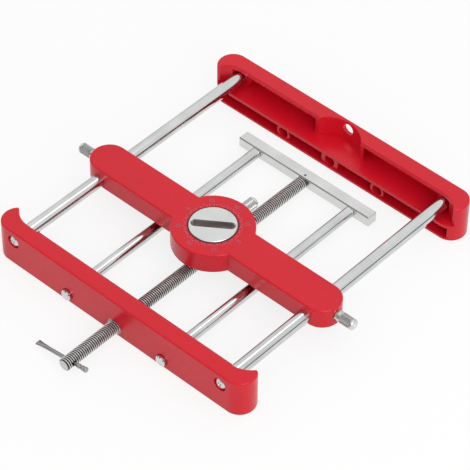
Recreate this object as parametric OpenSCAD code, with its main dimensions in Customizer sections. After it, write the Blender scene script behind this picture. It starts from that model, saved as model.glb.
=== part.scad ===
// Drilling jig: two moulded rails on a pair of guide rods, a sliding carriage with a
// slotted rotary guide disc, and a screw clamp that runs under the carriage.
// Units are millimetres. X runs along the rails, Y from the near rail to the far rail, Z up.
// The origin is under the guide disc's axis, and the rails stand on Z = 0.

/* [Frame] */
// Distance between the outer faces of the two rails
frame_span = 291; // [240:1:340]
// Distance from the near rail's outer face to the carriage's middle
carriage_reach = 117; // [52:0.5:248]
// Distance between the axes of the two guide rods
rod_spacing = 230; // [180:1:280]
// Height of the guide rod axes
rod_z = 26; // [22:0.5:30]
// Diameter of a guide rod
rod_dia = 12; // [10:0.5:14]

/* [Rails] */
// Depth of a rail at its shelf and bottom flange
rail_depth = 28.5; // [24:0.5:34]
// Height of a rail
rail_height = 37; // [32:0.5:42]
// Distance from the middle of a rail to the centre of its rounded end
rail_end_x = 123.4; // [110:0.1:150]
// Depth of the top flange
flange_depth = 15; // [12:0.1:20]
// Thickness of the outer wall, the shelf and the bottom flange
wall = 3; // [2.4:0.1:4]
// Height of the upper side of the middle shelf
shelf_top = 17.3; // [15:0.1:20]
// Radius of the hollow that clears a carriage end
horn_radius = 24; // [20:0.5:30]
// Distance from the middle to the centre of that hollow
horn_x = 113; // [105:1:120]
// Rounding of the rails' long outer edges
edge_round = 1.6; // [0.5:0.1:3]

/* [Carriage] */
// Width of the carriage arms
arm_width = 33.3; // [28:0.1:38]
// Distance from the middle to the centre of a rounded arm end
arm_end_x = 118.8; // [110:0.1:125]
// Height of the carriage's lower edge
carriage_z = 18.5; // [18:0.1:20]
// Height of the carriage's top face
carriage_top = 38.4; // [36:0.1:42]
// Radius of the round hub
hub_radius = 35.5; // [30:0.5:40]
// Height of the lock screw axes
lock_z = 29; // [27:0.1:31]

/* [Guide disc] */
// Radius of the disc
disc_radius = 20.3; // [16:0.1:24]
// Length of the slot
slot_length = 37.6; // [20:0.1:38]
// Width of the slot
slot_width = 8; // [5:0.1:12]
// Angle of the slot from the rails
slot_angle = 35.6; // [0:0.1:90]

/* [Clamp] */
// Distance between the axes of the two clamp rods
clamp_spacing = 106; // [90:1:130]
// Diameter of a clamp rod
clamp_rod_dia = 10; // [8:0.5:10]
// Height of the clamp rod and clamp screw axes
clamp_z = 8.5; // [8:0.1:9]
// Length of the clamp bar
bar_length = 146.6; // [120:0.1:180]
// Width of the clamp bar
bar_width = 11; // [10:0.5:14]
// Height of the clamp bar
bar_height = 10.6; // [9:0.1:10.8]
// Distance of the clamp bar's front face from the near rail's outer face
bar_reach = 229; // [40:1:249]
// Diameter of the clamp screw over its thread
screw_dia = 11.6; // [9:0.1:12]
// Distance that the clamp screw stands out of the near rail
screw_reach = 57.4; // [40:0.1:90]
// Length of the tommy bar
tommy_length = 57.5; // [50:0.5:80]
// Turn of the tommy bar from level
tommy_tilt = 8; // [0:0.5:9]

/* [Hidden] */
$fn = 96;
near_y = -carriage_reach;
far_y = frame_span - carriage_reach;
bar_y = near_y + bar_reach;
rod_r = rod_dia / 2;
rod_x = rod_spacing / 2;
end_r = rail_depth / 2;
flange_z = rail_height - 4;
channel_top = shelf_top - wall;
bay_x = rail_end_x - 1.4;
channel_x = rail_end_x + 6;
arm_r = arm_width / 2;
lid = 3.4;
skirt = 3;
clamp_x = clamp_spacing / 2;
clamp_rod_r = clamp_rod_dia / 2;
screw_r = screw_dia / 2;
run_gap = 0.05;
seat_gap = 0.02;
socket_face = 11;
boss_face = rail_depth - 1.5;
rod_seat = 5;
head_sink = 2.6;
notch_r = hub_radius - 6.2;
notch_y = wall + 0.2 + notch_r;
nut_r = 7.3;
tommy_y = near_y - screw_reach + 7;
tommy_r = 2.25;
rim_r = disc_radius + 1.7;
rim_z = 23.3;
rim_top = 25.2;
pad_x = arm_end_x + arm_r - 1;
pad_y = hub_radius - 0.5;

// Rectangle with true arcs at its corners, from the origin
module round_box(w, h, r) {
    translate([r, 0]) square([w - 2 * r, h]);
    translate([0, r]) square([w, h - 2 * r]);
    for (x = [r, w - r])
        for (y = [r, h - r])
            translate([x, y]) circle(r, $fn = 48);
}

// Rectangle with chamfered corners, about the origin
module chamfer_box(w, h, c) {
    a = w / 2;
    b = h / 2;
    polygon([[c - a, -b], [a - c, -b], [a, c - b], [a, b - c],
        [a - c, b], [c - a, b], [-a, b - c], [-a, c - b]]);
}

// Right half of a rounded rectangle, for a revolved end
module half_round_box(w, h, r) {
    intersection() {
        translate([-w / 2, 0]) round_box(w, h, r);
        square([w, h]);
    }
}

// What a rounding takes off a square corner that points to +x and +y
module corner_spare(r) {
    difference() {
        translate([-r, -r]) square([r + 1, r + 1]);
        translate([-r, -r]) circle(r, $fn = 48);
    }
}

// Long block whose ends are half rounds and whose long edges are rounded
module long_block(end_x, w, h, r) {
    translate([-end_x, 0, 0]) rotate([90, 0, 90]) linear_extrude(2 * end_x)
        translate([-w / 2, 0]) round_box(w, h, r);
    for (s = [-1, 1])
        translate([s * end_x, 0, 0]) rotate_extrude() half_round_box(w, h, r);
}

// Round bar or hole along Y
module along_y(x, y0, y1, z, r) {
    translate([x, y1, z]) rotate([90, 0, 0]) cylinder(h = y1 - y0, r = r);
}

// Cone frustum along Y, r0 at y0 and r1 at y1
module taper_y(x, y0, y1, z, r0, r1) {
    translate([x, y1, z]) rotate([90, 0, 0]) cylinder(h = y1 - y0, r1 = r1, r2 = r0);
}

// Plan of what the top flange leaves open: a straight edge that runs out into two
// round hollows, so that the rail's ends stand forward as horns
module flange_opening() {
    translate([-horn_x, flange_depth]) square([2 * horn_x, 60]);
    for (s = [-1, 1])
        translate([s * horn_x, flange_depth + horn_radius]) circle(horn_radius);
    translate([-150, rail_depth - 5]) square([300, 30]);
}

// The same opening's upper edge, rounded over
module flange_lip(r) {
    translate([-horn_x, 0, 0]) rotate([90, 0, 90]) linear_extrude(2 * horn_x)
        translate([flange_depth, rail_height]) corner_spare(r);
    for (s = [-1, 1])
        translate([s * horn_x, flange_depth + horn_radius, 0]) rotate_extrude()
            translate([horn_radius, rail_height]) mirror([1, 0]) corner_spare(r);
}

// Channel below the shelf, open at the front, with its ends inside the rail's round ends
module channel_plan() {
    translate([-rail_end_x, wall]) square([2 * rail_end_x, 60]);
    for (s = [-1, 1])
        translate([s * rail_end_x, end_r]) circle(end_r - wall);
    translate([-channel_x, end_r]) square([2 * channel_x, 60]);
}

// Moulded shell that both rails share: bottom flange, middle shelf and top flange on an
// outer wall, with round ends, a socket for each guide rod and three bosses below the shelf.
// Above the shelf its ends are solid. Its outer face is at Y = 0 and it opens to +Y.
module rail_shell() {
    difference() {
        translate([0, end_r, 0]) long_block(rail_end_x, rail_depth, rail_height, edge_round);
        translate([0, 0, shelf_top]) linear_extrude(40) flange_opening();
        flange_lip(1.2);
        translate([-bay_x, wall, shelf_top]) cube([2 * bay_x, 60, flange_z - shelf_top]);
        translate([0, 0, wall]) linear_extrude(channel_top - wall) channel_plan();
    }
    for (s = [-1, 1]) {
        along_y(s * rod_x, 1, socket_face, rod_z, 9.75);
        along_y(s * clamp_x, 1, boss_face, clamp_z, 7.25);
    }
    intersection() {
        along_y(0, 1, boss_face, clamp_z, 9.2);
        translate([-20, 0, 1]) cube([40, 40, shelf_top - 2]);
    }
}

// Guide rod sockets, and the sunk holes for the screws that hold the rods
module rod_sockets() {
    for (s = [-1, 1]) {
        along_y(s * rod_x, rod_seat, 40, rod_z, rod_r + seat_gap);
        along_y(s * rod_x, -1, 8, rod_z, 3.2);
        along_y(s * rod_x, -5, head_sink, rod_z, 6.15);
    }
}

module near_rail() {
    color([0.78, 0.09, 0.12]) translate([0, near_y, 0]) difference() {
        rail_shell();
        rod_sockets();
        for (s = [-1, 1]) {
            along_y(s * clamp_x, -1, 40, clamp_z, clamp_rod_r + run_gap);
            taper_y(s * clamp_x, -0.2, 0.8, clamp_z, clamp_rod_r + 1.05, clamp_rod_r + run_gap);
        }
        along_y(0, -1, boss_face, clamp_z, nut_r + seat_gap);
        along_y(0, boss_face - 1, 40, clamp_z, screw_r + run_gap);
    }
}

// The far rail's top flange is cut back in an arc for the front of the hub, and a curved
// wall closes the channel behind it
module far_rail() {
    color([0.78, 0.09, 0.12]) translate([0, far_y, 0]) rotate([0, 0, 180]) difference() {
        union() {
            rail_shell();
            intersection() {
                translate([0, notch_y, shelf_top - 1]) cylinder(h = flange_z - shelf_top + 2, r = notch_r + 3);
                translate([-60, 1, 0]) cube([120, flange_depth - 1, rail_height]);
            }
        }
        translate([0, notch_y, shelf_top]) cylinder(h = 40, r = notch_r);
        translate([0, notch_y, 0]) rotate_extrude()
            translate([notch_r, rail_height]) mirror([1, 0]) corner_spare(0.8);
        rod_sockets();
        for (s = [-1, 1])
            along_y(s * clamp_x, wall, 40, clamp_z, clamp_rod_r);
        along_y(0, wall, 40, clamp_z, 5.45);
        along_y(0, -1, 12, lock_z, 5.5);
    }
}

// Ground rod with chamfered ends, drilled for a screw at each end
module guide_rod(x) {
    y0 = near_y + rod_seat;
    y1 = far_y - rod_seat;
    difference() {
        union() {
            along_y(x, y0 + 0.8, y1 - 0.8, rod_z, rod_r);
            taper_y(x, y0, y0 + 0.8, rod_z, rod_r - 0.8, rod_r);
            taper_y(x, y1 - 0.8, y1, rod_z, rod_r, rod_r - 0.8);
        }
        along_y(x, y0 - 1, y0 + 16, rod_z, 3 + seat_gap);
        along_y(x, y1 - 16, y1 + 1, rod_z, 3 + seat_gap);
    }
}

module guide_rod_left() {
    color([0.75, 0.76, 0.78]) guide_rod(-rod_x);
}

module guide_rod_right() {
    color([0.75, 0.76, 0.78]) guide_rod(rod_x);
}

// Screw with a low domed head and a cross recess; its seat is at Y = 0 and it points to +Y
module rail_screw() {
    dome_r = 8;
    difference() {
        union() {
            intersection() {
                translate([0, dome_r - 3, 0]) sphere(dome_r, $fn = 64);
                along_y(0, -3.5, 0, 0, 5.75);
            }
            along_y(0, -0.5, 15.2, 0, 3);
            taper_y(0, 15.2, 16, 0, 3, 2.2);
        }
        for (a = [45, 135])
            rotate([0, a, 0]) translate([-2.7, -4, -0.55]) cube([5.4, 2.6, 1.1]);
    }
}

module rail_screw_near_left() {
    color([0.82, 0.82, 0.84]) translate([-rod_x, near_y + head_sink, rod_z]) rail_screw();
}

module rail_screw_near_right() {
    color([0.82, 0.82, 0.84]) translate([rod_x, near_y + head_sink, rod_z]) rail_screw();
}

module rail_screw_far_left() {
    color([0.82, 0.82, 0.84]) translate([-rod_x, far_y - head_sink, rod_z])
        rotate([0, 0, 180]) rail_screw();
}

module rail_screw_far_right() {
    color([0.82, 0.82, 0.84]) translate([rod_x, far_y - head_sink, rod_z])
        rotate([0, 0, 180]) rail_screw();
}

// Outside of the carriage: two round-ended arms and a round hub
module carriage_block() {
    h = carriage_top - carriage_z;
    translate([0, 0, carriage_z]) {
        long_block(arm_end_x, arm_width, h, 1.5);
        rotate_extrude() half_round_box(2 * hub_radius, h, 1.5);
    }
}

// Hollow underside: arms and hub are thin skirts below a flat lid
module carriage_hollow() {
    h = carriage_top - carriage_z - lid;
    translate([0, 0, carriage_z - 1]) {
        translate([-arm_end_x, skirt - arm_r, 0]) cube([2 * arm_end_x, arm_width - 2 * skirt, h + 1]);
        for (s = [-1, 1])
            translate([s * arm_end_x, 0, 0]) cylinder(h = h + 1, r = arm_r - skirt);
        cylinder(h = h + 1, r = hub_radius - skirt);
    }
}

// Sleeves for the rods, blocks for the lock screws, the disc's seat and stiffening ribs
module carriage_ribs() {
    lid_z = carriage_top - 1;
    rib_z = carriage_z + 1.5;
    for (s = [-1, 1]) {
        intersection() {
            along_y(s * rod_x, 1 - arm_r, arm_r - 1, rod_z, 8.4);
            translate([s * rod_x - 10, -20, carriage_z + 0.4]) cube([20, 40, 20]);
        }
        translate([s * rod_x - 6, 1 - arm_r, rod_z]) cube([12, arm_width - 2, lid_z - rod_z]);
        translate([s * 124.5 - 7.5, -6.2, lock_z - 6.5]) cube([15, 12.4, lid_z - lock_z + 6.5]);
        for (x = [56, 84])
            translate([s * x - 1, 1 - arm_r, rib_z]) cube([2, arm_width - 2, lid_z - rib_z]);
        translate([s * 65.75 - 41.75, -1, rib_z]) cube([83.5, 2, lid_z - rib_z]);
    }
    translate([0, 0, rim_z - 2.8]) cylinder(h = lid_z - rim_z + 2.8, r = rim_r + 3.5);
    translate([-6.2, rim_r + 1, lock_z - 6.5]) cube([12.4, 11, lid_z - lock_z + 6.5]);
    for (a = [30, 60, 120, 150, 210, 240, 270, 300, 330])
        rotate([0, 0, a]) translate([rim_r + 2, -1, rib_z]) cube([9.5, 2, lid_z - rib_z]);
}

module carriage() {
    color([0.78, 0.09, 0.12]) difference() {
        union() {
            difference() {
                carriage_block();
                carriage_hollow();
            }
            carriage_ribs();
        }
        // Seat for the guide disc: wide from below, with a groove for its clip, narrow on top
        translate([0, 0, carriage_z - 1]) cylinder(h = rim_top - carriage_z + 1, r = rim_r + 0.1);
        translate([0, 0, carriage_z]) cylinder(h = 30, r = disc_radius + run_gap);
        translate([0, 0, rim_z - 1.35]) cylinder(h = 1.35, r = rim_r + 1.5);
        for (s = [-1, 1]) {
            along_y(s * rod_x, -20, 20, rod_z, rod_r + run_gap);
            translate([s * 136, 0, lock_z]) rotate([0, 90, 0]) cylinder(h = 20, r = 4.52, center = true);
            translate([s * 123, 0, lock_z]) rotate([0, 90, 0]) cylinder(h = 8, r = 3.3, center = true);
            translate([s * (pad_x + 5), 0, lock_z]) rotate([0, 90, 0]) cylinder(h = 10, r = 5.6, center = true);
        }
        along_y(0, 26.5, 45, lock_z, 4.52);
        along_y(0, 19, 30, lock_z, 3.3);
        along_y(0, pad_y, 45, lock_z, 5.6);
    }
}

// Steel disc with a long slot right through it and a rim below that keeps it in the hub
module guide_disc() {
    top = carriage_top + 0.8;
    color([0.72, 0.74, 0.75]) difference() {
        union() {
            translate([0, 0, rim_z]) cylinder(h = rim_top - rim_z - 0.05, r = rim_r);
            translate([0, 0, rim_z + 0.5]) cylinder(h = top - rim_z - 0.9, r = disc_radius);
            translate([0, 0, top - 0.4]) cylinder(h = 0.4, r1 = disc_radius, r2 = disc_radius - 0.4);
        }
        rotate([0, 0, slot_angle]) translate([0, 0, 15]) {
            translate([slot_width / 2 - slot_length / 2, -slot_width / 2, 0])
                cube([slot_length - slot_width, slot_width, 30]);
            for (s = [-1, 1])
                translate([s * (slot_length - slot_width) / 2, 0, 0]) cylinder(h = 30, r = slot_width / 2);
        }
    }
}

// Open spring ring in the groove under the disc's rim
module disc_clip() {
    color([0.5, 0.5, 0.52]) translate([0, 0, rim_z - 1.3]) difference() {
        cylinder(h = 1.25, r = rim_r + 1.45);
        translate([0, 0, -1]) cylinder(h = 4, r = disc_radius + 0.2);
        translate([-5, -30, -1]) cube([10, 30, 4]);
    }
}

// Threaded brass sleeve along +X, from x = 0
module lock_insert(len) {
    rotate([0, 90, 0]) difference() {
        cylinder(h = len, r = 4.5);
        translate([0, 0, -1]) cylinder(h = len + 2, r = 3 + run_gap);
    }
}

module lock_insert_left() {
    color([0.78, 0.62, 0.3]) translate([-pad_x, 0, lock_z]) lock_insert(pad_x - 126);
}

module lock_insert_right() {
    color([0.78, 0.62, 0.3]) translate([126, 0, lock_z]) lock_insert(pad_x - 126);
}

module lock_insert_hub() {
    color([0.78, 0.62, 0.3]) translate([0, 26.5, lock_z]) rotate([0, 0, 90]) lock_insert(pad_y - 26.5);
}

// Thumb screw along +X: tip at x = 0, then shank, plain neck and round grip
module lock_screw(shank, neck, grip, r) {
    rotate([0, 90, 0]) {
        cylinder(h = 0.7, r1 = 2.3, r2 = 3);
        translate([0, 0, 0.7]) cylinder(h = shank, r = 3);
        translate([0, 0, shank]) cylinder(h = neck + 1, r = 4);
        translate([0, 0, shank + neck]) cylinder(h = 0.9, r1 = r - 0.9, r2 = r);
        translate([0, 0, shank + neck + 0.9]) cylinder(h = grip - 2.1, r = r);
        translate([0, 0, shank + neck + grip - 1.2]) cylinder(h = 1.2, r1 = r, r2 = r - 1.2);
    }
}

module lock_screw_left() {
    color([0.7, 0.71, 0.73]) translate([-121.1, 0, lock_z]) rotate([0, 0, 180])
        lock_screw(pad_x + 0.3 - 121.1, 141 - pad_x - 0.3, 13.5, 4.9);
}

module lock_screw_right() {
    color([0.7, 0.71, 0.73]) translate([121.1, 0, lock_z])
        lock_screw(pad_x + 0.3 - 121.1, 141 - pad_x - 0.3, 13.5, 4.9);
}

module lock_screw_hub() {
    color([0.7, 0.71, 0.73]) translate([0, disc_radius + 0.1, lock_z]) rotate([0, 0, 90])
        lock_screw(pad_y + 0.2 - disc_radius, 2.7, 12.5, 5.2);
}

// Threaded steel sleeve in the near rail's middle boss
module clamp_nut() {
    color([0.6, 0.6, 0.62]) translate([0, near_y, 0]) difference() {
        along_y(0, 0, boss_face, clamp_z, nut_r);
        along_y(0, -1, 40, clamp_z, screw_r + run_gap);
        taper_y(0, -0.2, 0.7, clamp_z, screw_r + 0.95, screw_r + run_gap);
    }
}

// Bar with all its edges chamfered, and blind holes for the two rods, the screw and the pin
module clamp_bar() {
    c = 0.9;
    color([0.74, 0.75, 0.76]) translate([0, bar_y, clamp_z]) difference() {
        translate([0, bar_width / 2, 0]) intersection() {
            rotate([90, 0, 90]) linear_extrude(bar_length, center = true) chamfer_box(bar_width, bar_height, c);
            linear_extrude(30, center = true) chamfer_box(bar_length, bar_width, c);
            rotate([90, 0, 0]) linear_extrude(30, center = true) chamfer_box(bar_length, bar_height, c);
        }
        for (s = [-1, 1])
            along_y(s * clamp_x, -1, 8.4, 0, 3 + seat_gap);
        along_y(0, -1, 8.9, 0, 4 + run_gap);
        translate([0, 3.4, 1]) cylinder(h = 10, r = 1.2 + seat_gap, $fn = 48);
    }
}

// Rod with a thin end seated in the bar, and a chamfered free end outside the near rail
module clamp_rod(x) {
    y0 = near_y - 3;
    taper_y(x, y0, y0 + 0.8, clamp_z, clamp_rod_r - 0.8, clamp_rod_r);
    along_y(x, y0 + 0.8, bar_y - 0.8, clamp_z, clamp_rod_r);
    taper_y(x, bar_y - 0.8, bar_y, clamp_z, clamp_rod_r, clamp_rod_r - 0.8);
    along_y(x, bar_y - 1, bar_y + 8, clamp_z, 3);
}

module clamp_rod_left() {
    color([0.75, 0.76, 0.78]) clamp_rod(-clamp_x);
}

module clamp_rod_right() {
    color([0.75, 0.76, 0.78]) clamp_rod(clamp_x);
}

// Clamp screw: chamfered free end with a cross hole, and a necked end that turns in the bar
module clamp_screw() {
    y0 = near_y - screw_reach;
    color([0.55, 0.55, 0.56]) difference() {
        union() {
            taper_y(0, y0, y0 + 1.2, clamp_z, screw_r - 1.2, screw_r);
            along_y(0, y0 + 1.2, bar_y - 1.4, clamp_z, screw_r);
            taper_y(0, bar_y - 1.4, bar_y - 0.1, clamp_z, screw_r, screw_r - 1.2);
            along_y(0, bar_y - 1, bar_y + 2, clamp_z, 4);
            along_y(0, bar_y + 1.5, bar_y + 5, clamp_z, 2.6);
            along_y(0, bar_y + 4.8, bar_y + 8.6, clamp_z, 4);
        }
        translate([0, tommy_y, clamp_z]) rotate([0, 90 - tommy_tilt, 0])
            cylinder(h = 20, r = tommy_r + run_gap, center = true);
    }
}

// Pin whose lower end stands in the screw's neck and keeps the screw in the bar
module clamp_pin() {
    color([0.3, 0.3, 0.31]) translate([0, bar_y + 3.4, clamp_z + 2.7])
        cylinder(h = bar_height / 2 - 3.1, r = 1.2, $fn = 48);
}

// Tommy bar through the screw's cross hole, with its two ends spread so that it stays in
module tommy_bar() {
    long_side = 37;
    color([0.5, 0.5, 0.51]) translate([0, tommy_y, clamp_z]) rotate([0, 90 - tommy_tilt, 0])
        translate([0, 0, -long_side]) {
            cylinder(h = 4, r1 = 2.85, r2 = tommy_r);
            translate([0, 0, 4]) cylinder(h = tommy_length - 8, r = tommy_r);
            translate([0, 0, tommy_length - 4]) cylinder(h = 4, r1 = tommy_r, r2 = 2.85);
        }
}

near_rail();
far_rail();
guide_rod_left();
guide_rod_right();
rail_screw_near_left();
rail_screw_near_right();
rail_screw_far_left();
rail_screw_far_right();
carriage();
guide_disc();
disc_clip();
lock_insert_left();
lock_insert_right();
lock_insert_hub();
lock_screw_left();
lock_screw_right();
lock_screw_hub();
clamp_nut();
clamp_bar();
clamp_rod_left();
clamp_rod_right();
clamp_screw();
clamp_pin();
tommy_bar();
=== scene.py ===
import math

import bmesh
import bpy
from mathutils import Matrix, Vector


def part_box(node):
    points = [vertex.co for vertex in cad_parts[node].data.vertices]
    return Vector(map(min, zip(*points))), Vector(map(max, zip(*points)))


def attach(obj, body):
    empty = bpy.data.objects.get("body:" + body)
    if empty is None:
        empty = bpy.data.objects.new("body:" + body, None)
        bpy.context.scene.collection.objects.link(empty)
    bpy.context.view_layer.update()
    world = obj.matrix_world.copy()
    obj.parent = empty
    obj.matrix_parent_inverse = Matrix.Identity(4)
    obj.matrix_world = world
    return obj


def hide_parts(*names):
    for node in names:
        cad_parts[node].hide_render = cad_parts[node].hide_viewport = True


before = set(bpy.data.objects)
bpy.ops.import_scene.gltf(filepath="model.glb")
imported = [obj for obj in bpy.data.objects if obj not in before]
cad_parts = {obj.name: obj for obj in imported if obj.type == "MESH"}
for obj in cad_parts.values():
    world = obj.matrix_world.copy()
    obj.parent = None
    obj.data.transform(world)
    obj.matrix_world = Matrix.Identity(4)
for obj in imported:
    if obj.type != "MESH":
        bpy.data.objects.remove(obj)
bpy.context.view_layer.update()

# Drilling jig. The rails, rods, carriage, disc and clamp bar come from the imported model.
# This script adds the cut thread, knurled grips, cross-head screws, tommy bar and angle
# dial, and gives every piece its finish. Everything is in metres.

mm = 0.001
hair = 0.01 * mm  # tolerance when faces, edges and vertices are picked by their place
print("frame loaded:", len(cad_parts), "nodes")


# Selecting and shaping in edit mode
def deselectAll():
    if bpy.context.object and bpy.context.object.mode != "OBJECT":
        bpy.ops.object.mode_set(mode="OBJECT")
    bpy.ops.object.select_all(action="DESELECT")


def selectOnly(piece):
    deselectAll()
    piece.select_set(True)
    bpy.context.view_layer.objects.active = piece


def enterEdit(piece):
    selectOnly(piece)
    bpy.ops.object.mode_set(mode="EDIT")


def leaveEdit():
    bpy.ops.object.mode_set(mode="OBJECT")


def selectAll():
    bpy.ops.mesh.select_all(action="SELECT")


def pick(piece, kind, test):
    # Selects the faces, edges or vertices that pass the test, and nothing else
    bpy.ops.mesh.select_mode(type=kind)
    bpy.ops.mesh.select_all(action="DESELECT")
    mesh = bmesh.from_edit_mesh(piece.data)
    for part in {"FACE": mesh.faces, "EDGE": mesh.edges, "VERT": mesh.verts}[kind]:
        if test(part):
            part.select_set(True)
    bmesh.update_edit_mesh(piece.data)


def faceOutwards():
    selectAll()
    bpy.ops.mesh.normals_make_consistent(inside=False)


def pushFace(rise, grow):
    # Extrudes the selected end face by rise along Z, then scales it
    bpy.ops.mesh.extrude_region_move(TRANSFORM_OT_translate={"value": (0, 0, rise)})
    if grow != 1:
        bpy.ops.transform.resize(value=(grow, grow, 1), center_override=(0, 0, 0))


def turnedBar(name, profile, sides):
    # Round bar along +Z that follows (height, radius) pairs, made from one disc by extrusion
    deselectAll()
    start, radius = profile[0]
    bpy.ops.mesh.primitive_circle_add(
        vertices=sides, radius=radius, fill_type="NGON", location=(0, 0, 0)
    )
    piece = bpy.context.object
    piece.name = name
    enterEdit(piece)
    selectAll()
    bpy.ops.transform.translate(value=(0, 0, start))
    for height, wide in profile[1:]:
        pushFace(height - start, wide / radius)
        start, radius = height, wide
    faceOutwards()
    leaveEdit()
    return piece


def applyModifier(piece, kind, **settings):
    selectOnly(piece)
    modifier = piece.modifiers.new(kind.lower(), kind)
    for key, value in settings.items():
        setattr(modifier, key, value)
    bpy.ops.object.modifier_apply(modifier=modifier.name)


def cutWith(piece, tool, operation="DIFFERENCE"):
    applyModifier(piece, "BOOLEAN", object=tool, operation=operation, solver="EXACT")
    bpy.data.objects.remove(tool)


def smoothByAngle(piece, degrees):
    selectOnly(piece)
    bpy.ops.object.shade_smooth_by_angle(angle=math.radians(degrees))


def setDown(piece, place, turn=None):
    # Turns and moves the mesh itself, so that the object stays at the origin
    matrix = Matrix.Translation(place)
    if turn:
        matrix = matrix @ turn
    piece.data.transform(matrix)
    piece.data.update()


def copyOf(piece, name):
    twin = piece.copy()
    twin.data = piece.data.copy()
    twin.name = name
    bpy.context.scene.collection.objects.link(twin)
    return twin


def axisOf(node, along):
    # Middle of a node's box, but at its low end along one axis
    low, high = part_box(node)
    point = (low + high) / 2
    point[along] = low[along]
    return point


# Node groups that several finishes share
def newGroup(name, inputs, outputs):
    group = bpy.data.node_groups.new(name, "ShaderNodeTree")
    for label, kind, value in inputs:
        socket = group.interface.new_socket(name=label, in_out="INPUT", socket_type=kind)
        if value is not None:
            socket.default_value = value
    for label, kind in outputs:
        group.interface.new_socket(name=label, in_out="OUTPUT", socket_type=kind)
    nodes = group.nodes
    return group, nodes.new("NodeGroupInput"), nodes.new("NodeGroupOutput")


def mathNode(nodes, links, operation, first, second=None):
    node = nodes.new("ShaderNodeMath")
    node.operation = operation
    for socket, value in zip(node.inputs, (first, second)):
        if value is None:
            continue
        if isinstance(value, (int, float)):
            socket.default_value = value
        else:
            links.new(value, socket)
    return node.outputs[0]


def distanceFromZ(nodes, links, vector):
    split = nodes.new("ShaderNodeSeparateXYZ")
    links.new(vector, split.inputs["Vector"])
    squareX = mathNode(nodes, links, "MULTIPLY", split.outputs["X"], split.outputs["X"])
    squareY = mathNode(nodes, links, "MULTIPLY", split.outputs["Y"], split.outputs["Y"])
    return mathNode(
        nodes, links, "SQRT", mathNode(nodes, links, "ADD", squareX, squareY)
    )


def makeGrainGroup():
    # Even noise, stretched by a vector: cloudiness, moulded grain or fine brushing
    group, source, target = newGroup(
        "stretchedGrain",
        [
            ("Vector", "NodeSocketVector", None),
            ("Stretch", "NodeSocketVector", (1.0, 1.0, 1.0)),
            ("Scale", "NodeSocketFloat", 100.0),
            ("Detail", "NodeSocketFloat", 2.0),
            ("Low", "NodeSocketFloat", 0.3),
            ("High", "NodeSocketFloat", 0.7),
        ],
        [("Value", "NodeSocketFloat")],
    )
    nodes, links = group.nodes, group.links
    stretch = nodes.new("ShaderNodeVectorMath")
    stretch.operation = "MULTIPLY"
    links.new(source.outputs["Vector"], stretch.inputs[0])
    links.new(source.outputs["Stretch"], stretch.inputs[1])
    noise = nodes.new("ShaderNodeTexNoise")
    links.new(stretch.outputs["Vector"], noise.inputs["Vector"])
    links.new(source.outputs["Scale"], noise.inputs["Scale"])
    links.new(source.outputs["Detail"], noise.inputs["Detail"])
    spread = nodes.new("ShaderNodeMapRange")
    links.new(noise.outputs["Fac"], spread.inputs["Value"])
    links.new(source.outputs["Low"], spread.inputs["From Min"])
    links.new(source.outputs["High"], spread.inputs["From Max"])
    links.new(spread.outputs["Result"], target.inputs["Value"])
    return group


def makeTurningGroup():
    # Fine rings round the Z axis of the vector, as a lathe tool leaves them
    group, source, target = newGroup(
        "turnedRings",
        [
            ("Vector", "NodeSocketVector", None),
            ("Rings per metre", "NodeSocketFloat", 2500.0),
        ],
        [("Value", "NodeSocketFloat")],
    )
    nodes, links = group.nodes, group.links
    radius = distanceFromZ(nodes, links, source.outputs["Vector"])
    noise = nodes.new("ShaderNodeTexNoise")
    noise.noise_dimensions = "1D"
    links.new(
        mathNode(nodes, links, "MULTIPLY", radius, source.outputs["Rings per metre"]),
        noise.inputs["W"],
    )
    noise.inputs["Scale"].default_value = 1.0
    noise.inputs["Detail"].default_value = 1.0
    links.new(noise.outputs["Fac"], target.inputs["Value"])
    return group


def makeHollowGroup():
    # 1 at the outer radius round the Z axis of the vector, 0 at the inner one
    group, source, target = newGroup(
        "hollowMask",
        [
            ("Vector", "NodeSocketVector", None),
            ("Inner", "NodeSocketFloat", 0.004),
            ("Outer", "NodeSocketFloat", 0.005),
        ],
        [("Mask", "NodeSocketFloat")],
    )
    nodes, links = group.nodes, group.links
    radius = distanceFromZ(nodes, links, source.outputs["Vector"])
    spread = nodes.new("ShaderNodeMapRange")
    spread.interpolation_type = "SMOOTHSTEP"
    links.new(radius, spread.inputs["Value"])
    links.new(source.outputs["Inner"], spread.inputs["From Min"])
    links.new(source.outputs["Outer"], spread.inputs["From Max"])
    links.new(spread.outputs["Result"], target.inputs["Mask"])
    return group


grainGroup = makeGrainGroup()
turningGroup = makeTurningGroup()
hollowGroup = makeHollowGroup()


# Finishes
def newMaterial(name, metallic, specular=0.5):
    material = bpy.data.materials.new(name)
    material.use_nodes = True
    nodes, links = material.node_tree.nodes, material.node_tree.links
    shader = nodes["Principled BSDF"]
    shader.inputs["Metallic"].default_value = metallic
    shader.inputs["Specular IOR Level"].default_value = specular
    coords = nodes.new("ShaderNodeTexCoord")
    return material, nodes, links, shader, coords.outputs["Object"]


def centred(nodes, links, vector, place, turn=(0, 0, 0)):
    # Object coordinates about a place, turned so that the piece's own axis is Z
    move = nodes.new("ShaderNodeMapping")
    move.vector_type = "TEXTURE"
    move.inputs["Location"].default_value = place
    move.inputs["Rotation"].default_value = turn
    links.new(vector, move.inputs["Vector"])
    return move.outputs["Vector"]


def addGrain(nodes, links, vector, scale, stretch=(1, 1, 1), detail=2, low=0.3, high=0.7):
    grain = nodes.new("ShaderNodeGroup")
    grain.node_tree = grainGroup
    links.new(vector, grain.inputs["Vector"])
    grain.inputs["Stretch"].default_value = stretch
    grain.inputs["Scale"].default_value = scale
    grain.inputs["Detail"].default_value = detail
    grain.inputs["Low"].default_value = low
    grain.inputs["High"].default_value = high
    return grain.outputs["Value"]


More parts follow.
